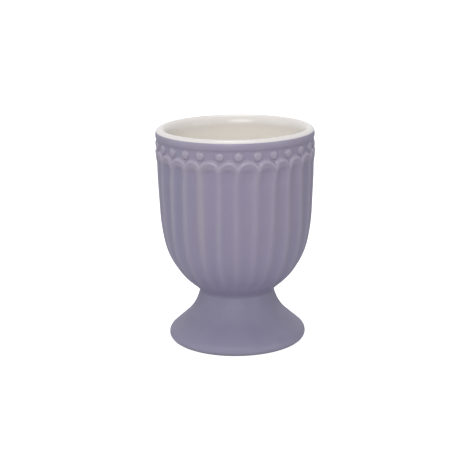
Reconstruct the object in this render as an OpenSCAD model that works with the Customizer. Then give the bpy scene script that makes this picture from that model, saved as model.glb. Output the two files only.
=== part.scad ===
// Egg cup in glazed stoneware. A fluted bowl stands on a hollow flared foot.
// Under the white lip run a plain collar, a row of beads and a border of small
// arches, one arch over each flute.
// The axis is Z, the cup rests on z = 0, and its front faces -Y.

/* [Whole cup] */
// Height from the table to the top of the lip
cup_height = 65; // [63:0.5:72]
// Number of flutes, which is also the number of arches and of beads
flute_count = 27; // [24:1:30]
// Angle from the front to the nearest bead, in degrees
pattern_turn = 1.7; // [0:0.1:15]
// Thickness of the glaze layers inside the bowl and inside the foot
glaze_thickness = 0.4; // [0.2:0.05:0.6]

/* [Foot] */
// Height of the joint between the foot and the bowl
foot_height = 16; // [14:0.5:18]
// Radius of the foot where it is widest
foot_radius = 20.7; // [19:0.1:23]
// Radius of the rounded hem round the bottom of the foot
hem_radius = 2.3; // [2:0.1:2.8]
// Height of the middle of the hem's rounding
hem_height = 1.9; // [1.5:0.1:1.9]
// Radius of the neck where its sweep would be narrowest
neck_radius = 11; // [10:0.1:12]
// Radius of the hollow curve that sweeps from the neck out to the hem
neck_sweep_radius = 14.1; // [11:0.1:16]
// Height at which that sweep would be narrowest, inside the joint
waist_height = 17.9; // [17:0.1:19]
// Thickness of the foot's wall, with its glaze
foot_wall = 2.9; // [2.2:0.1:3.4]
// Height of the hollow under the foot
foot_hollow_height = 13; // [10:0.5:13]
// Inner radius of the ring that the foot rests on
rest_ring_radius = 16.8; // [15:0.1:17.4]
// Height of the unglazed strip inside the resting ring
dry_height = 1; // [0.5:0.1:1.5]

/* [Joint between foot and bowl] */
// Thickness of the layer of slip that joins the bowl to the foot
slip_thickness = 0.8; // [0.4:0.1:1.2]
// How far the bowl's underside stands out past the neck at the joint
joint_step = 0.5; // [0.3:0.1:1]

/* [Bowl outside] */
// How far the fluted wall stands out past the bead frieze, at the springing of the arches
wall_proud = 0.3; // [0.2:0.05:0.6]
// Lean of the upper wall away from the axis, in degrees
wall_taper = 2.7; // [1:0.1:4]
// Height at which the upper wall's straight part begins
wall_start_height = 40.6; // [37:0.2:44]
// Radius of the gentle curve under the straight part
side_radius = 60; // [54:1:80]
// Radius of the full curve of the belly
belly_radius = 23.3; // [21:0.1:25]

/* [Flutes] */
// Width of a flute at its top
flute_width = 4.25; // [3:0.05:4.5]
// Depth of a flute along the wall
flute_depth = 0.58; // [0.3:0.02:0.8]
// Depth of a flute where it runs out at the joint
flute_end_depth = 0.04; // [0.03:0.01:0.05]
// Distance from the crest of an arch down to the top of its flute
flute_top_drop = 2.1; // [1.6:0.1:3]

/* [Mouth] */
// Radius of the mouth, where the lip starts to round over
mouth_radius = 20.55; // [19.5:0.05:22]
// Thickness of the rounded lip
lip_thickness = 3; // [2.4:0.1:3.6]
// How far the white glaze comes down the outside of the lip
lip_glaze_drop = 0.9; // [0.8:0.05:1.15]
// Lean of the cavity's wall away from the axis, in degrees
cavity_taper = 1.6; // [0.5:0.1:3]
// Thickness of the bowl's floor above the joint, with its glaze
floor_thickness = 3.6; // [3:0.1:6]

/* [Collar and beads] */
// Height of the collar under the lip
collar_height = 2.1; // [1.4:0.1:2.2]
// How far the collar stands out past the bead frieze
collar_proud = 0.45; // [0.3:0.05:0.7]
// Radius of the collar's outward swell
collar_swell_radius = 4; // [3:0.5:8]
// Radius of a bead's base
bead_radius = 1.5; // [1:0.05:1.6]
// How far a bead stands out from the frieze
bead_height = 0.55; // [0.3:0.05:0.9]
// Gap between the collar and the beads
bead_gap = 0.25; // [0.1:0.05:0.4]

/* [Arched border] */
// Distance from the collar down to the crests of the arches
arch_crest_drop = 2.8; // [2.6:0.05:3.4]
// Outer radius of an arch
arch_outer_radius = 3.25; // [3.1:0.05:3.6]
// Width of the raised rib along an arch
arch_rib_width = 0.85; // [0.5:0.05:0.95]
// How far the rib stands out past the fluted wall
arch_rib_proud = 0.15; // [0.1:0.05:0.3]

/* [Hidden] */
$fn = 96;
// Facets of the large round that the small beads sit on
fine_fn = 240;
lavender = [0.50, 0.45, 0.58];
pale_lavender = [0.58, 0.53, 0.65];
clay_grey = [0.72, 0.69, 0.66];
white_glaze = [0.95, 0.94, 0.90];

// Overrun of every cut past the faces it goes through
cut = 1;
// Radius of a flute's bottom, as a share of the wall's, along the side and the belly
flute_side_share = 1.23;
flute_belly_share = 0.935;
// Most of the turn that each flute may take, as a share of its pitch
flute_room_share = 0.97;
// Least radius of the joint's fillet, as a share of the slanted width of the joint
fillet_share = 1.05;

pitch = 360 / flute_count;
front = -90 + pattern_turn;

// Heights of the mouth, the collar, the beads and the arches
lip_radius = lip_thickness / 2;
lip_height = cup_height - lip_radius;
glaze_edge = cup_height - lip_glaze_drop;
collar_bottom = glaze_edge - collar_height;
bead_z = collar_bottom - bead_gap - bead_radius;
arch_crest = collar_bottom - arch_crest_drop;
arch_z = arch_crest - arch_outer_radius;
arch_inner_radius = arch_outer_radius - arch_rib_width;

// Radii of the lip's middle, the bead frieze, the fluted wall and the collar
lip_middle = mouth_radius + lip_radius;
frieze_radius = mouth_radius + lip_thickness - glaze_thickness;
bowl_radius = frieze_radius + wall_proud;
collar_radius = frieze_radius + collar_proud;
bead_sphere = (bead_radius * bead_radius + bead_height * bead_height) / (2 * bead_height);

// The joint
foot_top = foot_height - slip_thickness / 2;
bowl_base = foot_height + slip_thickness / 2;

// The foot's sweep touches the hem's rounding and the neck's hollow curve.
// Points here are [radius, height].
hem_centre = [foot_radius - hem_radius, hem_height];
sweep_centre = [neck_radius + neck_sweep_radius, waist_height];
sweep_gap = sweep_centre - hem_centre;
sweep_lean = atan2(sweep_gap[1], sweep_gap[0])
    - acos((hem_radius + neck_sweep_radius) / norm(sweep_gap));
sweep_normal = [cos(sweep_lean), sin(sweep_lean)];
hem_touch = hem_centre + hem_radius * sweep_normal;
neck_at_joint = sweep_centre[0]
    - sqrt(pow(neck_sweep_radius, 2) - pow(waist_height - foot_top, 2));

// The bowl's profile: a straight wall, a gentle curve that touches it, and the
// belly's curve, which touches the gentle curve and ends at the joint.
joint_edge = [neck_at_joint + joint_step, bowl_base];
wall_normal = [cos(wall_taper), -sin(wall_taper)];
wall_start = [wall_radius(wall_start_height), wall_start_height];
belly_centre = touching_centre(wall_start - side_radius * wall_normal, side_radius,
                               joint_edge, belly_radius);

// Each flute is cut by a turned cutter that stands beside the bowl on an upright
// axis. The cutter's outline is the bottom of the flute, which runs like the
// wall's profile inside it and comes out towards the joint.
flute_top_z = arch_crest - flute_top_drop - flute_width / 2;
flute_sink = flute_depth - sagitta(wall_radius(flute_top_z), flute_width / 2);
flute_bar = (pow(flute_width / 2, 2) + flute_sink * flute_sink) / (2 * flute_sink);
cutter_axis = wall_radius(flute_top_z) - flute_depth + flute_bar;
flute_end = joint_edge - flute_end_depth * unit(joint_edge - belly_centre);
flute_start = wall_start - flute_depth * wall_normal;

function unit(v) = v / norm(v);

// How far an arc of the given radius bulges over a half chord
function sagitta(radius, half_chord) = radius - sqrt(radius * radius - half_chord * half_chord);

// Radius of the fluted wall's straight part, carried on to height z
function wall_radius(z) = bowl_radius + (z - arch_z) * tan(wall_taper);

// Centre of a circle of the given radius that passes through point p and touches
// the larger circle from the inside, on its upper side
function touching_centre(centre, large_radius, p, radius) =
    let(reach = large_radius - radius,
        gap = p - centre,
        along = (reach * reach - radius * radius + gap * gap) / (2 * norm(gap)),
        across = sqrt(reach * reach - along * along),
        dir = unit(gap))
    centre + along * dir + across * [-dir[1], dir[0]];

// Height of the middle of the cavity's round bottom, which touches its leaning wall
function cavity_middle(mouth, floor_z) =
    (floor_z + mouth * cos(cavity_taper) - lip_height * sin(cavity_taper))
    / (1 - sin(cavity_taper));

// A rectangle in the half-section, from radius r0 to r1 and height z0 to z1
module band(r0, r1, z0, z1) {
    translate([r0, z0]) square([r1 - r0, z1 - z0]);
}

// Repeats its children round the axis, as many times as there are flutes
module around(offset_angle) {
    for (i = [0 : flute_count - 1]) {
        rotate([0, 0, front + offset_angle + i * pitch]) children();
    }
}

// Half-section of the cavity of the given mouth radius, up to the lip's middle
module cavity_section(mouth, floor_z) {
    middle = cavity_middle(mouth, floor_z);
    ball = middle - floor_z;
    touch = [ball * cos(cavity_taper), middle - ball * sin(cavity_taper)];
    polygon([[0, touch[1]], touch, [mouth, lip_height], [0, lip_height]]);
    intersection() {
        translate([0, middle]) circle(ball);
        band(0, ball, floor_z - cut, touch[1]);
    }
}

// Upper half of the lip's rounding, with the given radius
module lip_section(radius) {
    intersection() {
        translate([lip_middle, lip_height]) circle(radius);
        band(lip_middle - radius - cut, lip_middle + radius + cut, lip_height, cup_height + cut);
    }
}

// Half-section inside a profile that leans like the upper wall from the top point
// down to the start point, and then follows the side curve and the belly's curve
// down to the end point
module profile_section(top, start, side, belly, end) {
    centre = start - side * wall_normal;
    low_centre = touching_centre(centre, side, end, belly);
    meet = centre + side * unit(low_centre - centre);
    polygon([[0, start[1]], start, top, [0, top[1]]]);
    intersection() {
        translate(centre) circle(side);
        band(0, top[0], meet[1], start[1]);
    }
    intersection() {
        translate(low_centre) circle(belly);
        band(0, top[0], end[1], meet[1]);
    }
}

// Half-section of the solid bowl, from the joint to the springing of the arches
module wall_section() {
    profile_section([bowl_radius, arch_z], wall_start, side_radius, belly_radius, joint_edge);
}

// Half-section of a ring on the frieze that stands out past the fluted wall by proud
module arch_ring_section(inner, proud) {
    polygon([[inner, arch_z], [bowl_radius + proud, arch_z],
             [wall_radius(arch_crest) + proud, arch_crest], [inner, arch_crest]]);
}

// Round bars that point outwards at the centres of the arches
module arch_bars(radius) {
    around(pitch / 2) {
        translate([mouth_radius, 0, arch_z]) rotate([0, 90, 0])
            cylinder(r = radius, h = collar_radius - mouth_radius + cut);
    }
}

// Half-section of the turned cutter, with its own axis at zero
module cutter_section() {
    difference() {
        band(0, cutter_axis - neck_radius, flute_end[1], flute_top_z);
        translate([cutter_axis, 0]) mirror([1, 0])
            profile_section([cutter_axis - flute_bar, flute_top_z], flute_start,
                            flute_side_share * side_radius,
                            flute_belly_share * belly_radius, flute_end);
    }
    intersection() {
        translate([0, flute_top_z]) circle(flute_bar);
        band(0, flute_bar + cut, flute_top_z, flute_top_z + flute_bar + cut);
    }
}

// The cutter of the flute that faces +X, kept to its own share of the turn
module flute_cutter() {
    half_width = cutter_axis * tan(pitch * flute_room_share / 2);
    intersection() {
        translate([cutter_axis, 0, 0]) rotate_extrude() cutter_section();
        linear_extrude(cup_height)
            polygon([[0, 0], [cutter_axis, -half_width], [cutter_axis, half_width]]);
    }
}

// Half-section under the foot's sweep, set in from its outside by inset
module foot_sweep_section(outer, top, inset) {
    curve = neck_sweep_radius + inset;
    touch = sweep_centre - curve * sweep_normal;
    low = touch[1] - (outer - touch[0]) * sweep_normal[0] / sweep_normal[1];
    difference() {
        polygon([[0, 0], [outer, 0], [outer, low], touch,
                 [sweep_centre[0], touch[1]], [sweep_centre[0], top], [0, top]]);
        translate(sweep_centre) circle(curve);
    }
}

// The flared foot, hollow from below
module foot() {
    clay_wall = foot_wall - glaze_thickness;
    color(lavender) rotate_extrude() difference() {
        union() {
            foot_sweep_section(hem_touch[0], foot_top, 0);
            intersection() {
                translate(hem_centre) circle(hem_radius);
                band(0, foot_radius + cut, 0, hem_centre[1] + hem_radius + cut);
            }
        }
        foot_sweep_section(rest_ring_radius + glaze_thickness,
                           foot_hollow_height + glaze_thickness, clay_wall);
    }
}

// The glaze inside the hollow foot, which stops short of the table
module foot_lining() {
    clay_wall = foot_wall - glaze_thickness;
    color(pale_lavender) rotate_extrude() difference() {
        foot_sweep_section(rest_ring_radius + glaze_thickness,
                           foot_hollow_height + glaze_thickness, clay_wall);
        foot_sweep_section(rest_ring_radius, foot_hollow_height, foot_wall);
        band(0, foot_radius, 0, dry_height);
    }
}

// The layer of slip between foot and bowl, with its hollow edge
module luting_slip() {
    neck_edge = [neck_at_joint, foot_top];
    slant = joint_edge - neck_edge;
    fillet = fillet_share * norm(slant);
    out = sqrt(fillet * fillet - slant * slant / 4);
    fillet_centre = (neck_edge + joint_edge) / 2 + out * unit([slant[1], -slant[0]]);
    color(clay_grey) rotate_extrude() difference() {
        band(0, joint_edge[0], foot_top, bowl_base);
        translate(fillet_centre) circle(fillet);
    }
}

// The clay bowl with its flutes, turned so that the seam of its surface is on a ridge
module bowl() {
    clay_mouth = mouth_radius + glaze_thickness;
    color(lavender) difference() {
        union() {
            rotate([0, 0, front]) rotate_extrude() {
                wall_section();
                band(0, frieze_radius, arch_z, lip_height);
                lip_section(lip_radius - glaze_thickness);
            }
            intersection() {
                rotate([0, 0, front]) rotate_extrude() arch_ring_section(clay_mouth, 0);
                arch_bars(arch_inner_radius);
            }
        }
        rotate([0, 0, front]) rotate_extrude() {
            cavity_section(clay_mouth, bowl_base + floor_thickness - glaze_thickness);
            band(0, clay_mouth, lip_height, cup_height + cut);
        }
        around(pitch / 2) flute_cutter();
    }
}

// The white glaze inside the bowl and over its lip
module bowl_lining() {
    floor_z = bowl_base + floor_thickness;
    color(white_glaze) rotate_extrude() {
        difference() {
            cavity_section(mouth_radius + glaze_thickness, floor_z - glaze_thickness);
            cavity_section(mouth_radius, floor_z);
        }
        difference() {
            lip_section(lip_radius);
            lip_section(lip_radius - glaze_thickness);
            band(lip_middle, lip_middle + lip_thickness, lip_height, glaze_edge);
        }
    }
}

// The plain swelling collar under the white lip
module rim_band() {
    middle = (collar_bottom + glaze_edge) / 2;
    color(lavender) rotate_extrude() difference() {
        intersection() {
            translate([collar_radius - collar_swell_radius, middle])
                circle(collar_swell_radius);
            band(lip_middle, collar_radius + cut, collar_bottom, glaze_edge);
        }
        band(0, frieze_radius, collar_bottom, lip_height);
        lip_section(lip_radius - glaze_thickness);
    }
}

// The border of arches round the top of the fluted wall
module scallop_border() {
    color(pale_lavender) difference() {
        intersection() {
            rotate_extrude() arch_ring_section(frieze_radius, arch_rib_proud);
            arch_bars(arch_outer_radius);
        }
        arch_bars(arch_inner_radius);
    }
}

// The row of beads, one over each meeting of two arches
module beads() {
    color(pale_lavender) around(0) {
        difference() {
            translate([frieze_radius + bead_height - bead_sphere, 0, bead_z])
                rotate([0, 0, 180]) sphere(bead_sphere);
            rotate([0, 0, 180]) cylinder(r = frieze_radius, h = cup_height, $fn = fine_fn);
        }
    }
}

foot();
foot_lining();
luting_slip();
bowl();
bowl_lining();
rim_band();
scallop_border();
beads();
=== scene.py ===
import math

import bpy
import numpy as np
from mathutils import Matrix, Vector


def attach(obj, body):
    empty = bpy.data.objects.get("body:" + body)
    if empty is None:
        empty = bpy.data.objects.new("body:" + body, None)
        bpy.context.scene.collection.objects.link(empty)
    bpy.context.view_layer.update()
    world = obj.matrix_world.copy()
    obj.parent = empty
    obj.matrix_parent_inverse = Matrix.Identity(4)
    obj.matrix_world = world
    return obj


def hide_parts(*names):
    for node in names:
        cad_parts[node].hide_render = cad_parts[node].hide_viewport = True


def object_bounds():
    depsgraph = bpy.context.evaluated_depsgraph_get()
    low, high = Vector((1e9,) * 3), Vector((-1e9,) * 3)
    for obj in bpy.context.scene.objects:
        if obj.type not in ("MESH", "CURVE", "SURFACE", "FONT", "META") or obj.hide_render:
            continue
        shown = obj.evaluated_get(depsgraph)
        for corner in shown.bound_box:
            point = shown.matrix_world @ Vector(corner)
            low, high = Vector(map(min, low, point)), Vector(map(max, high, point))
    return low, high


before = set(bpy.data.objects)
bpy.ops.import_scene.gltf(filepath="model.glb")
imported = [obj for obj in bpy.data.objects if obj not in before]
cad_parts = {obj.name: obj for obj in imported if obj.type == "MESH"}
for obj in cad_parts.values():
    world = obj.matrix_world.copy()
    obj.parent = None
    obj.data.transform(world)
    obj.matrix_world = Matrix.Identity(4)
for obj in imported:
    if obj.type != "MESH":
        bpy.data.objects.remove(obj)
CAD_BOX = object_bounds()

# Sizes are in millimetres, and become metres where a mesh is made
MM = 0.001
TAU = 2 * math.pi
HEIGHT = round(CAD_BOX[1][2] / MM, 1)

# The pattern: one flute, one arch and one bead to each step round the cup
FLUTES = 27
PITCH = TAU / FLUTES
FRONT_TURN = 1.7
FRONT = math.radians(-90 + FRONT_TURN)

# The lip, and the white glaze over it
MOUTH = 20.55
LIP = 1.5
LIP_MIDDLE = MOUTH + LIP
LIP_Z = HEIGHT - LIP
GLAZE_EDGE = HEIGHT - 0.9
INNER_SOFT = HEIGHT - 3.4

# The frieze, the wall of the bowl and the collar
GLAZE = 0.4
FRIEZE = LIP_MIDDLE + LIP - GLAZE
WALL = FRIEZE + 0.3
COLLAR_LOW = GLAZE_EDGE - 2.1
COLLAR_MIDDLE = (GLAZE_EDGE + COLLAR_LOW) / 2
COLLAR_SWELL = 4.0
COLLAR_CENTRE = FRIEZE + 0.45 - COLLAR_SWELL
COLLAR_BLEND = (COLLAR_LOW - 0.62, COLLAR_LOW + 0.42)
TUCK = 0.35
TUCK_BLEND = (GLAZE_EDGE + 0.02, GLAZE_EDGE + 0.17)

# The beads
BEAD_Z = COLLAR_LOW - 1.75
BEAD_R = 1.4
BEAD_H = 0.55
BEAD_FLATNESS = 2.8
BEAD_SHOULDER = 0.6
BEAD_REACH = 2.4
BEAD_FILLET = 0.1
BEAD_EDGE_SHARE = 1.06

# The arches: a rib with a slope outside it and a soft foot inside
ARCH_OUT = 3.25
ARCH_Z = COLLAR_LOW - 2.8 - ARCH_OUT
RIB_PROUD = 0.17
RIB_SLOPE = 1.05
RIB_FOOT = 2.0
RIB_DROP = 0.47
RIB_CURVE = 2.2
RIB_WIDTH = 0.95
RIB_FADE = (-1.6, 0.8)
BORDER_REACH = 1.0
FRIEZE_LAP = 0.32
FRIEZE_FILLET = 0.15

# The bowl's profile: a straight wall, a gentle curve and the full curve of the belly
TAPER = math.radians(2.7)
WALL_START = 40.6
SIDE = 60.0
BELLY = 23.3

# The joint, the foot's sweep and the glaze that fills the crease between them
FOOT_TOP = 15.6
BOWL_BASE = 16.4
JOINT_STEP = 0.5
SWEEP = np.array([25.1, 17.9])
SWEEP_R = 14.1
CREASE_FILL = 2.1
CREASE_BLEND = (20.0, 18.0)

# The flutes, cut at their top by a round beside the bowl and worn to a wave below it
FLUTE_TOP = 54.9
FLUTE_TOP_STEEP = 1.32
FLUTE_DEPTH = 0.58
FLUTE_BAR = 4.9165
FLUTE_SIDE = 1.23 * SIDE
FLUTE_BELLY = 0.935 * BELLY
FLUTE_END = 0.04
FLUTE_EDGE = 0.4
FLUTE_LOW_DEPTH = 0.55
FLUTE_LOW_BLEND = (16.6, 20.5)
RIDGE_LIFT = 0.12
RIDGE_BLEND = (56.0, 50.0)
WAVE_BLEND = (54.0, 50.5)
WAVE_ROUND = 0.75
OUT_OF_REACH = 3.0


# Curves and blends
def unit(v):
    return v / np.linalg.norm(v)


def smooth_min(a, b, k):
    h = np.clip(0.5 + 0.5 * (b - a) / k, 0, 1)
    return b * (1 - h) + a * h - k * h * (1 - h)


def smooth_max(a, b, k):
    return -smooth_min(-a, -b, k)


def smooth_step(e0, e1, x):
    t = np.clip((x - e0) / (e1 - e0), 0, 1)
    return t * t * (3 - 2 * t)


def wall_line(z):
    """Radius of the straight upper wall, carried on to any height."""
    return WALL + (z - ARCH_Z) * math.tan(TAPER)


def neck_radius(z):
    """Radius of the foot's sweep, carried on up to its narrowest."""
    return SWEEP[0] - np.sqrt(SWEEP_R**2 - (SWEEP[1] - np.minimum(z, SWEEP[1])) ** 2)


def touching(centre, large, p, small):
    """Centre of a small circle through p that touches the large circle from inside."""
    gap = p - centre
    size = np.linalg.norm(gap)
    reach = large - small
    along = (reach**2 - small**2 + size**2) / (2 * size)
    across = math.sqrt(reach**2 - along**2)
    d = gap / size
    return centre + along * d + across * np.array([-d[1], d[0]])


def arcs(start, side, belly, end):
    """Radius against height for a straight wall that runs into two arcs."""
    normal = np.array([math.cos(TAPER), -math.sin(TAPER)])
    high = start - side * normal
    low = touching(high, side, end, belly)
    meet = high + side * unit(low - high)

    def radius(z):
        z = np.asarray(z, float)
        straight = start[0] + (z - start[1]) * math.tan(TAPER)
        curve = high[0] + np.sqrt(np.maximum(side**2 - (z - high[1]) ** 2, 0))
        round_ = low[0] + np.sqrt(np.maximum(belly**2 - (z - low[1]) ** 2, 0))
        return np.where(z >= start[1], straight, np.where(z >= meet[1], curve, round_))

    return radius, low


JOINT = np.array([neck_radius(FOOT_TOP) + JOINT_STEP, BOWL_BASE])
START = np.array([wall_line(WALL_START), WALL_START])
wall_radius, belly_centre = arcs(START, SIDE, BELLY, JOINT)
FLUTE_START = START - FLUTE_DEPTH * np.array([math.cos(TAPER), -math.sin(TAPER)])
FLUTE_LAST = JOINT - FLUTE_END * unit(JOINT - belly_centre)
flute_radius, _ = arcs(FLUTE_START, FLUTE_SIDE, FLUTE_BELLY, FLUTE_LAST)
FLUTE_AXIS = wall_line(FLUTE_TOP) - FLUTE_DEPTH + FLUTE_BAR


def filled(z):
    """Radius of the joint between foot and bowl, with the glaze that fills its crease."""
    return smooth_max(wall_radius(z), neck_radius(z), CREASE_FILL)


# Hand-made unevenness, measured in the photograph. Turns from the even places, in degrees,
# of the pattern's lines from the left of the front to its right: at the beads, at the
# meetings of the arches, at the top of the ridges and at their bottom.
FIRST_LINE = -6
BEAD_TURNS = [0.8, 1.3, 1.1, 0.8, -0.9, 0.8, 0.6, 1.0, -0.5, -1.3, -0.8, -0.4, 0.0]
CUSP_TURNS = [-1.0, -1.2, -0.2, 0.0, -1.4, -0.2, -0.2, 1.6, 1.6, 0.0, -0.5, 0.6, 0.4]
HIGH_TURNS = [-3.0, -3.6, -1.2, -1.0, -1.2, 0.1, -1.7, -1.0, -0.3, -1.2, -0.5, 1.9, 1.0]
LOW_TURNS = [-4.0, -5.2, -4.6, -3.4, -1.8, -1.8, -1.5, -1.0, -1.5, 0.3, 3.0, 3.0, 1.5]
TURN_LEVELS = [28.0, 51.0, 56.5, 59.0]
BEAD_SPREAD = 0.03
FLUTE_SPREAD = 0.05


def line_turns(degrees):
    turns = np.zeros(FLUTES)
    turns[np.arange(FIRST_LINE, FIRST_LINE + len(degrees)) % FLUTES] = np.radians(degrees)
    return turns


TURNS = np.array([line_turns(t) for t in (LOW_TURNS, HIGH_TURNS, CUSP_TURNS, BEAD_TURNS)])
rng = np.random.default_rng(7)
BEAD_GROW = 1 + rng.normal(0, BEAD_SPREAD, FLUTES)
DEEPER = 1 + rng.normal(0, FLUTE_SPREAD, FLUTES)


def pattern_angle(theta, z):
    """The even pattern's angle for each row of angles on the real cup."""
    lines = np.arange(-1, FLUTES + 2)
    even = FRONT + lines * PITCH
    angles = np.empty_like(theta)
    for row, height in enumerate(z[:, 0]):
        turns = [np.interp(height, TURN_LEVELS, TURNS[:, line]) for line in range(FLUTES)]
        moved = even + np.array(turns)[lines % FLUTES]
        angles[row] = np.interp((theta[row] - FRONT) % TAU + FRONT, moved, even)
    return angles


# The relief of the bowl
def arches(from_arch, z, wall):
    """Radius of the wall with its arches, and how far inside an arch each point lies."""
    across = from_arch * WALL
    up = z - ARCH_Z
    own = np.hypot(across, np.maximum(up, 0))
    neighbour = np.hypot(PITCH * WALL - np.abs(across), np.maximum(up, 0))
    depth_in = np.maximum(ARCH_OUT - np.minimum(own, neighbour), -BORDER_REACH)
    crown = RIB_PROUD * (1 - smooth_step(RIB_SLOPE, RIB_FOOT, depth_in))
    shoulder = RIB_DROP * np.clip(1 - depth_in / RIB_SLOPE, 0, None) ** RIB_CURVE
    arched = wall + smooth_step(*RIB_FADE, up) * (crown - shoulder)
    outside = smooth_max(FRIEZE + 0 * z, arched, FRIEZE_FILLET)
    return np.where((depth_in > FRIEZE_LAP) | (up < 0), arched, outside), depth_in


def flute_cutter(from_arch, z, depth):
    """Radius of the flutes as a round beside the bowl cuts them, and past it no cut at all."""
    top_wall = wall_radius(np.minimum(z, FLUTE_TOP))
    over = np.maximum(z - FLUTE_TOP, 0) * FLUTE_TOP_STEEP
    round_ = np.sqrt(np.maximum((FLUTE_AXIS - top_wall + depth) ** 2 - over**2, 0))
    side = FLUTE_AXIS * np.sin(from_arch)
    inside = round_**2 - side**2
    cut = FLUTE_AXIS * np.cos(from_arch) - np.sqrt(np.maximum(inside, 0))
    return np.where(inside > 0, cut, WALL + OUT_OF_REACH)


def beaded(body, from_bead, z, grow):
    """The body with its beads, which are flatter on top than a ball, and the way to them."""
    way = np.hypot(from_bead * FRIEZE, z - BEAD_Z) / (BEAD_R * grow)
    swell = BEAD_H * np.clip(1 - way**BEAD_FLATNESS, 0, 1) ** BEAD_SHOULDER
    bead = FRIEZE + swell - BEAD_SHOULDER * np.clip(way - 1, 0, None)
    near = np.abs(z - BEAD_Z) < BEAD_REACH
    return np.where(near, smooth_max(body, bead, BEAD_FILLET), body), way


def collared(body, z):
    """The body with its collar, which tucks in under the white glaze."""
    round_ = np.sqrt(np.maximum(COLLAR_SWELL**2 - (z - COLLAR_MIDDLE) ** 2, 0))
    collar = np.maximum(COLLAR_CENTRE + round_, FRIEZE)
    body = body + (collar - body) * smooth_step(*COLLAR_BLEND, z)
    return body - TUCK * smooth_step(*TUCK_BLEND, z)


# How pale the glaze is, from the glaze thinning on high places and from painted shade in the recesses: on
# the frieze, over its ornament above this height, on the collar
FRIEZE_PALENESS = 0.42
ORNAMENT_RISE = 0.5
ORNAMENT_LOW = ARCH_Z + 2
COLLAR_PALENESS = 0.64
BODY, ARCHES, BEADS, COLLAR = range(4)


def relief(theta, z):
    """Radius of the glazed outside of the bowl, the piece of each point, and how pale its glaze is:
    thinning glaze on high places, painted shade in recesses.
    """
    cell = (pattern_angle(theta, z) - FRONT) / PITCH
    nearest_bead = np.round(cell)
    flute = np.floor(cell)
    from_bead = (cell - nearest_bead) * PITCH
    from_arch = (cell - flute - 0.5) * PITCH

    wall = wall_radius(z) + RIDGE_LIFT * smooth_step(*RIDGE_BLEND, z)
    plain, depth_in = arches(from_arch, z, wall)
    low = np.minimum(z, FLUTE_TOP)
    depth = (wall_radius(low) - flute_radius(low)) * DEEPER[flute.astype(int) % FLUTES]
    cut = smooth_min(plain, flute_cutter(from_arch, z, depth), FLUTE_EDGE)
    # Lower down the glaze has rounded the ridges and flutes into an even wave
    wave = (0.5 - 0.5 * np.cos(TAU * cell)) ** WAVE_ROUND
    waved = smooth_step(*WAVE_BLEND, z)
    depth = np.maximum(depth, FLUTE_LOW_DEPTH * smooth_step(*FLUTE_LOW_BLEND, z))
    body = cut + (wall - depth * wave - cut) * waved
    body = body + (filled(z) - wall_radius(z)) * smooth_step(*CREASE_BLEND, z)
    body, way = beaded(body, from_bead, z, BEAD_GROW[nearest_bead.astype(int) % FLUTES])
    body = collared(body, z)

    part = np.full(z.shape, BODY)
    part[(depth_in > 0) & (depth_in < RIB_WIDTH) & (z > ARCH_Z)] = ARCHES
    part[way < BEAD_EDGE_SHARE] = BEADS
    part[z > COLLAR_LOW] = COLLAR
    # Paler over the ornament and ridges, deeper on the frieze and down the flutes: partly the glaze
    # thinning and pooling, partly painted shade in the recesses
    rise = np.clip((body - FRIEZE) / ORNAMENT_RISE, 0, 1)
    over_frieze = FRIEZE_PALENESS + (1 - FRIEZE_PALENESS) * rise
    over_flute = np.clip(1 - (wall - body) / FLUTE_DEPTH, 0, 1)
    over_flute = over_flute + (1 - wave - over_flute) * waved
    raised = np.where(z > ORNAMENT_LOW, over_frieze, over_flute)
    raised = np.where(part == COLLAR, COLLAR_PALENESS, raised)
    return body, part, raised


# Meshes
FLUTE_ROWS_TOP = 50.0
ARCH_ROWS_LOW = 55.0
BEHIND_LIP = 0.2
LOW_ROWS, MIDDLE_ROWS, HIGH_ROWS = 110, 30, 150
QUICK_COLUMNS, FULL_COLUMNS = 24, 40
TURNED_COLUMNS = 240
ON_AXIS = 1e-6


def rows_of_heights():
    low = np.linspace(BOWL_BASE, FLUTE_ROWS_TOP, LOW_ROWS, endpoint=False)
    middle = np.linspace(FLUTE_ROWS_TOP, ARCH_ROWS_LOW, MIDDLE_ROWS, endpoint=False)
    high = np.linspace(ARCH_ROWS_LOW, GLAZE_EDGE + BEHIND_LIP, HIGH_ROWS)
    return np.concatenate([low, middle, high])


def mesh_object(name, verts, faces, normals=None):
    mesh = bpy.data.meshes.new(name)
    mesh.from_pydata([tuple(v) for v in verts], [], [tuple(f) for f in faces])
    mesh.update()
    mesh.polygons.foreach_set("use_smooth", [True] * len(mesh.polygons))
    if normals is not None:
        mesh.normals_split_custom_set_from_vertices([tuple(n) for n in normals])
    obj = bpy.data.objects.new(name, mesh)
    bpy.context.scene.collection.objects.link(obj)
    return obj


def grid_faces(rows, columns):
    """Quads of a closed ring grid, rows upwards and columns round the axis."""
    r = np.arange(rows - 1)[:, None]
    c = np.arange(columns)[None, :]
    a = r * columns + c
    b = r * columns + (c + 1) % columns
    return np.stack([a, b, b + columns, a + columns], axis=-1).reshape(-1, 4)


def add_attribute(obj, name, values):
    attribute = obj.data.attributes.new(name, "FLOAT", "POINT")
    attribute.data.foreach_set("value", np.asarray(values, np.float32))


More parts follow.
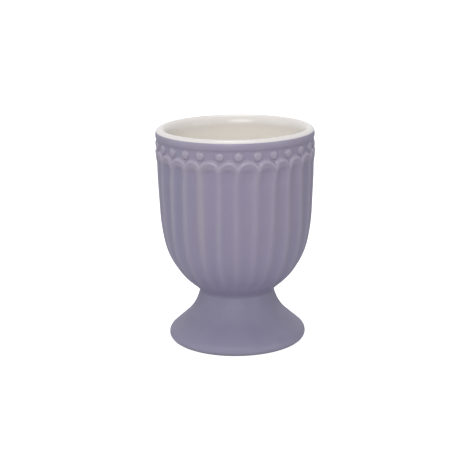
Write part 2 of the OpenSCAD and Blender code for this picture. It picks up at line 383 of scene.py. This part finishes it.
def build_bowl():
    """The glazed outside of the bowl as one skin, cut into its four named pieces."""
    columns = FLUTES * FULL_COLUMNS
    heights = rows_of_heights()
    theta = FRONT + np.arange(columns) * TAU / columns
    tt, zz = np.meshgrid(theta, heights)
    radius, part, raised = relief(tt, zz)
    co = np.stack([radius * np.cos(tt), radius * np.sin(tt), zz], axis=-1)
    # Normals of the whole skin, so that its pieces meet without a visible join
    d_theta = np.roll(co, -1, axis=1) - np.roll(co, 1, axis=1)
    d_z = np.gradient(co, axis=0)
    normal = np.cross(d_theta, d_z)
    normal /= np.linalg.norm(normal, axis=-1, keepdims=True)
    faces = grid_faces(len(heights), columns)
    face_part = np.max(part.reshape(-1)[faces], axis=1)
    verts = (co * MM).reshape(-1, 3)
    normals = normal.reshape(-1, 3)
    names = {BODY: "bowl_glazed", ARCHES: "scallops_glazed", BEADS: "beads_glazed", COLLAR: "collar_glazed"}
    pieces = []
    for number, name in names.items():
        used, index = np.unique(faces[face_part == number], return_inverse=True)
        obj = mesh_object(name, verts[used], index.reshape(-1, 4), normals[used])
        add_attribute(obj, "raised", raised.reshape(-1)[used])
        pieces.append(obj)
    return pieces


def turned(name, profile):
    """A turned skin from a profile of [radius, height] points, in mm, closed on the axis."""
    theta = np.arange(TURNED_COLUMNS) * TAU / TURNED_COLUMNS
    verts, rings = [], []
    for r, z in profile:
        first = len(verts)
        if r < ON_AXIS:
            verts.append((0, 0, z * MM))
            rings.append([first] * TURNED_COLUMNS)
        else:
            verts += [(r * math.cos(t) * MM, r * math.sin(t) * MM, z * MM) for t in theta]
            rings.append(list(range(first, first + TURNED_COLUMNS)))
    faces = []
    for low, high in zip(rings, rings[1:]):
        for i in range(TURNED_COLUMNS):
            j = (i + 1) % TURNED_COLUMNS
            face = [low[i], low[j], high[j], high[i]]
            faces.append([v for k, v in enumerate(face) if v != face[k - 1]])
    return mesh_object(name, verts, faces)


def oval(centre, across, upward, a0, a1, count):
    """Points of an oval arc from angle a0 to angle a1, both in radians."""
    return [[centre[0] + across * math.cos(t), centre[1] + upward * math.sin(t)]
            for t in np.linspace(a0, a1, count)]


def arc(centre, radius, a0, a1, count):
    return oval(centre, radius, radius, a0, a1, count)


# The lining: a round floor, a leaning wall, a softly rounded inner lip and the lip itself
CAVITY_TAPER = math.radians(1.6)
CAVITY_FLOOR = BOWL_BASE + 3.6
CAVITY_FIRST = math.radians(-89)
CAVITY_SPAN = CAVITY_FLOOR + MOUTH * math.cos(CAVITY_TAPER) - LIP_Z * math.sin(CAVITY_TAPER)
CAVITY_MIDDLE = CAVITY_SPAN / (1 - math.sin(CAVITY_TAPER))
CAVITY_ROWS, CAVITY_WALL_ROWS, LIP_ROWS = 90, 14, 40
CAVITY_WALL_SHARES = (0.05, 0.95)
GLAZE_EDGE_TURN = math.radians(3)
# Steps of the glaze's own rounded edge from the lip's last point, out and up
GLAZE_EDGE_ROUND = [(0.02, -0.05), (0.0, -0.10), (-0.12, -0.13)]


def lining_profile():
    ball = CAVITY_MIDDLE - CAVITY_FLOOR
    points = [[0, CAVITY_FLOOR]]
    points += arc([0, CAVITY_MIDDLE], ball, CAVITY_FIRST, -CAVITY_TAPER, CAVITY_ROWS)
    last = np.array(points[-1])
    inner = np.array([MOUTH - (LIP_Z - INNER_SOFT) * math.tan(CAVITY_TAPER), INNER_SOFT])
    shares = np.linspace(*CAVITY_WALL_SHARES, CAVITY_WALL_ROWS)
    points += [list(last + (inner - last) * share) for share in shares]
    across, upward = LIP_MIDDLE - inner[0], HEIGHT - INNER_SOFT
    centre = [LIP_MIDDLE, INNER_SOFT]
    points += oval(centre, across, upward, math.pi, math.pi / 2, LIP_ROWS + 1)[:-1]
    edge_angle = math.asin((GLAZE_EDGE - LIP_Z) / LIP) + GLAZE_EDGE_TURN
    points += arc([LIP_MIDDLE, LIP_Z], LIP, math.pi / 2, edge_angle, LIP_ROWS)
    rim = points[-1]
    return points + [[rim[0] + out, rim[1] + up] for out, up in GLAZE_EDGE_ROUND]


# The foot: a hollow that follows the sweep, an unglazed resting ring and a rounded hem that
# is a little flatter under its widest line than over it
HEM = np.array([18.4, 1.9])
HEM_R = 2.3
HEM_UNDER = 2.02
CLAY_WALL = 2.5
RING_IN = 17.2
RING_EDGE = 0.06
RING_ROWS = (18.0, 19.0)
INNER_WALL_ROWS = (1.1, 0.4, RING_EDGE)
HOLLOW_TOP = 13.4
FILL_LOW = 13.5
HOLLOW_ROWS, HEM_ROWS, SWEEP_ROWS, SLIP_ROWS = 40, 25, 80, 9


def foot_profile():
    """The foot's closed section, from the ceiling of its hollow round to its top."""
    gap = SWEEP - HEM
    lean = math.atan2(gap[1], gap[0]) - math.acos((HEM_R + SWEEP_R) / np.linalg.norm(gap))
    normal = np.array([math.cos(lean), math.sin(lean)])
    hollow_r = SWEEP_R + CLAY_WALL
    touch = SWEEP - hollow_r * normal
    low = touch[1] - (RING_IN - touch[0]) * normal[0] / normal[1]
    ceiling = math.pi + math.asin((SWEEP[1] - HOLLOW_TOP) / hollow_r)
    top = math.pi + math.asin((SWEEP[1] - FOOT_TOP) / SWEEP_R)
    down = math.asin(-HEM[1] / HEM_UNDER)
    points = [[0, HOLLOW_TOP]] + arc(SWEEP, hollow_r, ceiling, math.pi + lean, HOLLOW_ROWS)
    points += [[RING_IN, z] for z in (low, *INNER_WALL_ROWS)]
    points += [[r, 0] for r in (RING_IN + RING_EDGE, *RING_ROWS)]
    points += oval(HEM, HEM_R, HEM_UNDER, down, 0, HEM_ROWS)
    points += arc(HEM, HEM_R, 0, lean, HEM_ROWS)[1:]
    sweep = arc(SWEEP, SWEEP_R, math.pi + lean, top, SWEEP_ROWS)[1:]
    points += [[max(r, float(filled(z))) if z > FILL_LOW else r, z] for r, z in sweep]
    return points + [[0, FOOT_TOP]]


def slip_profile():
    """The seam of slip between foot and bowl, under the glaze that fills the crease."""
    rows = [[float(filled(z)), z] for z in np.linspace(FOOT_TOP, BOWL_BASE, SLIP_ROWS)]
    return [[0, FOOT_TOP]] + rows + [[0, BOWL_BASE]]


# How pale the turned pieces' glaze is made, from 0 deepest to 1 palest, by painted light and painted shade
EVEN_GLAZE = 0.5
# Painted light on the hem, paler towards its lower edge in place of light from the floor
HEM_PAINTED_LIGHT = (3.2, 0.5)
# Painted shade on the foot from 8 to 12 mm up, under the bowl
FOOT_PAINTED_SHADE, FOOT_PAINTED_SHADE_BLEND = 0.1, (8.0, 12.0)
# Painted light on the foot just under the crease
NECK_PAINTED_LIGHT, NECK_PAINTED_LIGHT_BLEND = 0.1, (13.6, 15.4)
# Painted light over the whole lining
LINING_PAINTED_LIGHT = 0.95
# Painted shade on the lining's top 5 mm, up to the lip
LINING_PAINTED_SHADE, LINING_PAINTED_SHADE_BLEND = 0.5, (LIP_Z - 5, LIP_Z)
# Painted shade on the outer part of the lip's round
LIP_PAINTED_SHADE, LIP_PAINTED_SHADE_BLEND = 0.45, (LIP_MIDDLE - 0.8, LIP_MIDDLE + 0.6)
BARE_HEIGHT = 1.2
BARE_RADIUS = 19.15


def reach_and_height(obj):
    """Distance from the axis and height of each vertex, in mm."""
    co = np.array([v.co for v in obj.data.vertices]) / MM
    return np.hypot(co[:, 0], co[:, 1]), co[:, 2]


def paint_foot_light_and_shade(obj):
    reach, height = reach_and_height(obj)
    # Painted light: paler towards the hem's lower edge
    raised = EVEN_GLAZE + (1 - EVEN_GLAZE) * smooth_step(*HEM_PAINTED_LIGHT, height)
    # Painted shade: deeper higher up the foot, under the bowl
    raised -= FOOT_PAINTED_SHADE * smooth_step(*FOOT_PAINTED_SHADE_BLEND, height)
    # Painted light: paler again just under the crease
    raised += NECK_PAINTED_LIGHT * smooth_step(*NECK_PAINTED_LIGHT_BLEND, height)
    add_attribute(obj, "raised", raised)
    add_attribute(obj, "bare", (height < BARE_HEIGHT) & (reach < BARE_RADIUS))


def paint_lining_light_and_shade(obj):
    reach, height = reach_and_height(obj)
    # Painted light over the lining, with painted shade on its top up to the lip
    raised = LINING_PAINTED_LIGHT - LINING_PAINTED_SHADE * smooth_step(*LINING_PAINTED_SHADE_BLEND, height)
    # Painted shade on the outer part of the lip
    raised -= LIP_PAINTED_SHADE * smooth_step(*LIP_PAINTED_SHADE_BLEND, reach)
    add_attribute(obj, "raised", raised)


bowl, scallops, beads, collar = build_bowl()
lining = turned("lining_glazed", lining_profile())
foot = turned("foot_glazed", foot_profile())
joint = turned("slip_glazed", slip_profile())
add_attribute(joint, "raised", np.full(len(joint.data.vertices), EVEN_GLAZE))
paint_foot_light_and_shade(foot)
paint_lining_light_and_shade(lining)
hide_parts("bowl")
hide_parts("scallop_border")
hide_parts("beads")
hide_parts("rim_band")
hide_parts("bowl_lining")
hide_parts("luting_slip")


# Glazes. Each noise is given by its scale per metre, its detail, and the range of values
# over which it takes hold.
CLOUDS = dict(scale=160, detail=4, low=0.3, high=0.7)
THIN_STREAKS = dict(scale=110, detail=2, low=0.4, high=0.65, turn=0)
PINK_STREAKS = dict(scale=48, detail=2, low=0.46, high=0.6, turn=45)
WARM_STREAKS = dict(scale=70, detail=2, low=0.45, high=0.7, turn=270)
SPECKS = dict(scale=1900, detail=2, low=0.62, high=0.78, rough=0.6)
GLOSS = dict(scale=300, detail=3, low=0.2, high=0.8)
RIPPLES = dict(scale=700, detail=3)
STREAK_SHARE = 0.12
CLOUD_SHARE, STREAK_THIN_SHARE = 0.5, 0.4
PALE_TONE_RANGE, PALE_TONE_SHARE = (0.5, 1.0), 0.7
PINK_SHARE, WARM_SHARE, COOL_SHARE = 0.52, 0.55, 0.8
WARM_RAISED = (0.3, 0.8)
COOL_LEVELS = (38.0 * MM, 17.0 * MM)
GLOSSIER, DULLER = 0.04, 0.06
RIPPLE_STRENGTH = 0.25
GLAZE_IOR = 1.5
CLAY_ROUGHNESS = 0.85


def srgb(r, g, b):
    """A colour given as on a screen, from 0 to 255, as linear values."""
    out = []
    for v in (r, g, b):
        v /= 255
        out.append(v / 12.92 if v <= 0.04045 else ((v + 0.055) / 1.055) ** 2.4)
    return (*out, 1.0)


class Glaze:
    """The nodes of one glaze: paler where it runs thinner and where light is painted on, deeper
    where it pools and where shade is painted on, and softly mottled."""

    def __init__(self, name):
        self.material = bpy.data.materials.new(name)
        self.material.use_nodes = True
        tree = self.material.node_tree
        self.nodes, self.links = tree.nodes, tree.links
        self.shader = self.nodes["Principled BSDF"]
        self.coord = self.add("ShaderNodeTexCoord").outputs["Object"]

    def add(self, kind):
        return self.nodes.new(kind)

    def attribute(self, name):
        node = self.add("ShaderNodeAttribute")
        node.attribute_name = name
        return node.outputs["Fac"]

    def ramp(self, value, low, high):
        node = self.add("ShaderNodeMapRange")
        node.inputs["From Min"].default_value = low
        node.inputs["From Max"].default_value = high
        self.links.new(value, node.inputs["Value"])
        return node.outputs["Result"]

    def noise(self, scale, detail, rough=0.5, low=None, high=None, turn=None):
        """Noise on the object, and with a turn, noise drawn out as glaze runs down the wall."""
        place = self.coord
        if turn is not None:
            stretch = self.add("ShaderNodeMapping")
            stretch.inputs["Scale"].default_value = (1, 1, STREAK_SHARE)
            stretch.inputs["Rotation"].default_value = (0, 0, math.radians(turn))
            self.links.new(place, stretch.inputs["Vector"])
            place = stretch.outputs["Vector"]
        node = self.add("ShaderNodeTexNoise")
        node.inputs["Scale"].default_value = scale
        node.inputs["Detail"].default_value = detail
        node.inputs["Roughness"].default_value = rough
        self.links.new(place, node.inputs["Vector"])
        value = node.outputs["Fac"]
        return value if low is None else self.ramp(value, low, high)

    def times(self, value, other):
        node = self.add("ShaderNodeMath")
        node.operation = "MULTIPLY"
        self.links.new(value, node.inputs[0])
        if isinstance(other, float):
            node.inputs[1].default_value = other
        else:
            self.links.new(other, node.inputs[1])
        return node.outputs[0]

    def mix(self, factor, a, b, amount=1.0):
        node = self.add("ShaderNodeMix")
        node.data_type = "RGBA"
        self.links.new(self.times(factor, amount), node.inputs["Factor"])
        for value, socket in ((a, node.inputs["A"]), (b, node.inputs["B"])):
            if isinstance(value, tuple):
                socket.default_value = value
            else:
                self.links.new(value, socket)
        return node.outputs["Result"]

    def tinted(self, body, raised, cool, warm, pink):
        """The body with the tints of one glaze: pink and warm streaks, and cool low down."""
        body = self.mix(self.noise(**PINK_STREAKS), body, pink, PINK_SHARE)
        patches = self.times(self.noise(**WARM_STREAKS), self.ramp(raised, *WARM_RAISED))
        body = self.mix(patches, body, warm, WARM_SHARE)
        split = self.add("ShaderNodeSeparateXYZ")
        self.links.new(self.coord, split.inputs["Vector"])
        return self.mix(self.ramp(split.outputs["Z"], *COOL_LEVELS), body, cool, COOL_SHARE)

    def gloss(self, roughness):
        node = self.add("ShaderNodeMapRange")
        node.inputs["To Min"].default_value = roughness - GLOSSIER
        node.inputs["To Max"].default_value = roughness + DULLER
        self.links.new(self.noise(**GLOSS), node.inputs["Value"])
        return node.outputs["Result"]

    def bare_clay(self, body, rough, clay):
        """Dry clay in place of the glaze where the attribute says so."""
        bare = self.attribute("bare")
        dry = self.add("ShaderNodeMix")
        dry.inputs["B"].default_value = CLAY_ROUGHNESS
        self.links.new(bare, dry.inputs["Factor"])
        self.links.new(rough, dry.inputs["A"])
        return self.mix(bare, body, clay), dry.outputs["Result"]

    def finish(self, body, rough, ripple):
        bump = self.add("ShaderNodeBump")
        bump.inputs["Strength"].default_value = RIPPLE_STRENGTH
        bump.inputs["Distance"].default_value = ripple * MM
        self.links.new(self.noise(**RIPPLES), bump.inputs["Height"])
        self.shader.inputs["IOR"].default_value = GLAZE_IOR
        self.links.new(body, self.shader.inputs["Base Color"])
        self.links.new(rough, self.shader.inputs["Roughness"])
        self.links.new(bump.outputs["Normal"], self.shader.inputs["Normal"])


def glaze(name, base, pale_tone, deep, roughness, tints=None, clay=None, speck=0.5, ripple=0.012, mottle=1.0):
    g = Glaze(name)
    raised = g.attribute("raised")
    body = g.mix(g.noise(**CLOUDS), base, deep, CLOUD_SHARE * mottle)
    body = g.mix(g.noise(**THIN_STREAKS), body, pale_tone, STREAK_THIN_SHARE * mottle)
    # Deeper and paler as the attribute says: thinning and pooling glaze, with painted shade in the bowl's
    # recesses and painted light and shade on the foot and the lining
    body = g.mix(g.ramp(raised, 0, 1), deep, body)
    body = g.mix(g.ramp(raised, *PALE_TONE_RANGE), body, pale_tone, PALE_TONE_SHARE)
    if tints:
        body = g.tinted(body, raised, **tints)
    body = g.mix(g.noise(**SPECKS), body, deep, speck)
    rough = g.gloss(roughness)
    if clay:
        body, rough = g.bare_clay(body, rough, clay)
    g.finish(body, rough, ripple)
    return g.material


coloured = glaze("coloured_glaze_look", base=srgb(146, 141, 162), pale_tone=srgb(158, 152, 170),
                 deep=srgb(136, 132, 155), roughness=0.38,
                 tints=dict(cool=srgb(150, 144, 171), warm=srgb(160, 154, 160), pink=srgb(153, 141, 163)))
ornament = glaze("relief_glaze_look", base=srgb(151, 143, 162), pale_tone=srgb(163, 155, 172),
                 deep=srgb(142, 134, 156), roughness=0.36)
white = glaze("white_glaze_look", base=srgb(227, 221, 213), pale_tone=srgb(238, 233, 224),
              deep=srgb(217, 212, 209), roughness=0.23, speck=0.05, ripple=0.003, mottle=0.3)
inner = glaze("foot_glaze_look", base=srgb(140, 134, 154), pale_tone=srgb(150, 144, 163),
              deep=srgb(126, 120, 140), roughness=0.42)
# The foot's pale tone shows as painted light along the hem, and its deep tone as painted shade under the
# bowl, as the attribute sets
outside = glaze("foot_outside_look", base=srgb(149, 144, 167), pale_tone=srgb(172, 166, 188),
                deep=srgb(111, 106, 129), roughness=0.5, clay=srgb(176, 168, 158), mottle=0.4)
slip = glaze("joint_slip_look", base=srgb(148, 142, 165), pale_tone=srgb(152, 146, 169),
             deep=srgb(138, 132, 154), roughness=0.45)

for piece, look, slot in ((bowl, coloured, "coloured_glaze"), (scallops, ornament, "relief_glaze"),
                          (beads, ornament, "relief_glaze"), (collar, coloured, "coloured_glaze"),
                          (lining, white, "white_glaze"), (foot, outside, "coloured_glaze"),
                          (joint, slip, "joint_slip")):
    piece.data.materials.append(look)
    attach(piece, "root")

for name, look in (("foot", outside), ("foot_lining", inner), ("luting_slip", slip)):
    for material_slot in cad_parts[name].material_slots:
        material_slot.material = look

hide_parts("foot")

# Floor and world, in metres and in shares of full brightness
FLOOR_HALF = 2.0
FLOOR_TONE = 0.5
FLOOR_GLOW = 0.02
FLOOR_SEEN = 0.92
SKY = 0.58
SKY_SEEN = 1.0
SKY_TINT = (0.94, 0.96, 1.0, 1)
WHITE = (1, 1, 1, 1)


def floor_material():
    """A floor that takes the cup's shadow and looks white to the camera."""
    material = bpy.data.materials.new("floor_look")
    material.use_nodes = True
    nodes, links = material.node_tree.nodes, material.node_tree.links
    nodes.remove(nodes["Principled BSDF"])
    diffuse = nodes.new("ShaderNodeBsdfDiffuse")
    diffuse.inputs["Color"].default_value = (FLOOR_TONE, FLOOR_TONE, FLOOR_TONE, 1)
    glow = nodes.new("ShaderNodeEmission")
    path = nodes.new("ShaderNodeLightPath")
    scale = nodes.new("ShaderNodeMath")
    scale.operation = "MULTIPLY_ADD"
    scale.inputs[1].default_value = FLOOR_SEEN - FLOOR_GLOW
    scale.inputs[2].default_value = FLOOR_GLOW
    links.new(path.outputs["Is Camera Ray"], scale.inputs[0])
    links.new(scale.outputs[0], glow.inputs["Strength"])
    add = nodes.new("ShaderNodeAddShader")
    links.new(diffuse.outputs[0], add.inputs[0])
    links.new(glow.outputs[0], add.inputs[1])
    links.new(add.outputs[0], nodes["Material Output"].inputs["Surface"])
    return material


def studio_world():
    """A pale sky that is white to the camera and in reflections."""
    world = bpy.data.worlds.new("studio")
    world.use_nodes = True
    nodes, links = world.node_tree.nodes, world.node_tree.links
    path = nodes.new("ShaderNodeLightPath")
    seen = path.outputs["Is Camera Ray"]
    for ray in ("Is Glossy Ray", "Is Transmission Ray"):
        either = nodes.new("ShaderNodeMath")
        either.operation = "MAXIMUM"
        links.new(seen, either.inputs[0])
        links.new(path.outputs[ray], either.inputs[1])
        seen = either.outputs[0]
    level = nodes.new("ShaderNodeMapRange")
    level.inputs["To Min"].default_value = SKY
    level.inputs["To Max"].default_value = SKY_SEEN
    tint = nodes.new("ShaderNodeMix")
    tint.data_type = "RGBA"
    tint.inputs["A"].default_value = SKY_TINT
    tint.inputs["B"].default_value = WHITE
    links.new(seen, level.inputs["Value"])
    links.new(seen, tint.inputs["Factor"])
    links.new(level.outputs["Result"], nodes["Background"].inputs["Strength"])
    links.new(tint.outputs["Result"], nodes["Background"].inputs["Color"])
    return world


corners = [(-FLOOR_HALF, -FLOOR_HALF, 0), (FLOOR_HALF, -FLOOR_HALF, 0),
           (FLOOR_HALF, FLOOR_HALF, 0), (-FLOOR_HALF, FLOOR_HALF, 0)]
floor = mesh_object("floor", corners, [(0, 1, 2, 3)])
floor.data.materials.append(floor_material())

scene = bpy.context.scene
scene.world = studio_world()
scene.view_settings.view_transform = "Standard"


def area(name, place, target, width, power, height=None):
    """A soft lamp, round or with a height a softbox, that faces its target."""
    data = bpy.data.lights.new(name, "AREA")
    data.shape = "RECTANGLE" if height else "DISK"
    data.size = width
    if height:
        data.size_y = height
    data.energy = power
    obj = bpy.data.objects.new(name, data)
    obj.location = place
    obj.rotation_euler = (Vector(target) - Vector(place)).to_track_quat("-Z", "Y").to_euler()
    scene.collection.objects.link(obj)


# Lamps: place and target in metres, width in metres, power in watts and a softbox's height
area("over", (0.0, 0.02, 0.60), (0, 0, 0.05), 0.30, 0.94)
area("front", (-0.068, -0.373, 0.20), (0, 0, 0.05), 0.26, 0.58, 0.12)
area("side", (0.50, -0.30, 0.14), (0, 0, 0.04), 0.3, 0.38)
area("fill", (-0.50, -0.10, 0.15), (0, 0, 0.04), 0.4, 0.38)

# Camera, from the outline of the cup in the photograph. FOCAL and SHIFT are in its pixels.
FRAME_PX = 470
FOCAL = 1318.3
SHIFT = (-1.23, -2.16)
SENSOR = 36
NEAR = 0.01
DISTANCE = 398.2 * MM
ELEVATION = math.radians(14.48)
ROLL = math.radians(0.72)
TARGET = Vector((0, 0, HEIGHT / 2 * MM))

camera_data = bpy.data.cameras.new("camera")
camera_data.sensor_width = SENSOR
camera_data.lens = FOCAL * SENSOR / FRAME_PX
camera_data.shift_x = SHIFT[0] / FRAME_PX
camera_data.shift_y = SHIFT[1] / FRAME_PX
camera_data.clip_start = NEAR
camera = bpy.data.objects.new("camera", camera_data)
camera.location = TARGET + DISTANCE * Vector((0, -math.cos(ELEVATION), math.sin(ELEVATION)))
facing = (TARGET - camera.location).to_track_quat("-Z", "Y").to_matrix().to_4x4()
camera.rotation_euler = (facing @ Matrix.Rotation(-ROLL, 4, "Z")).to_euler()
scene.collection.objects.link(camera)
scene.camera = camera
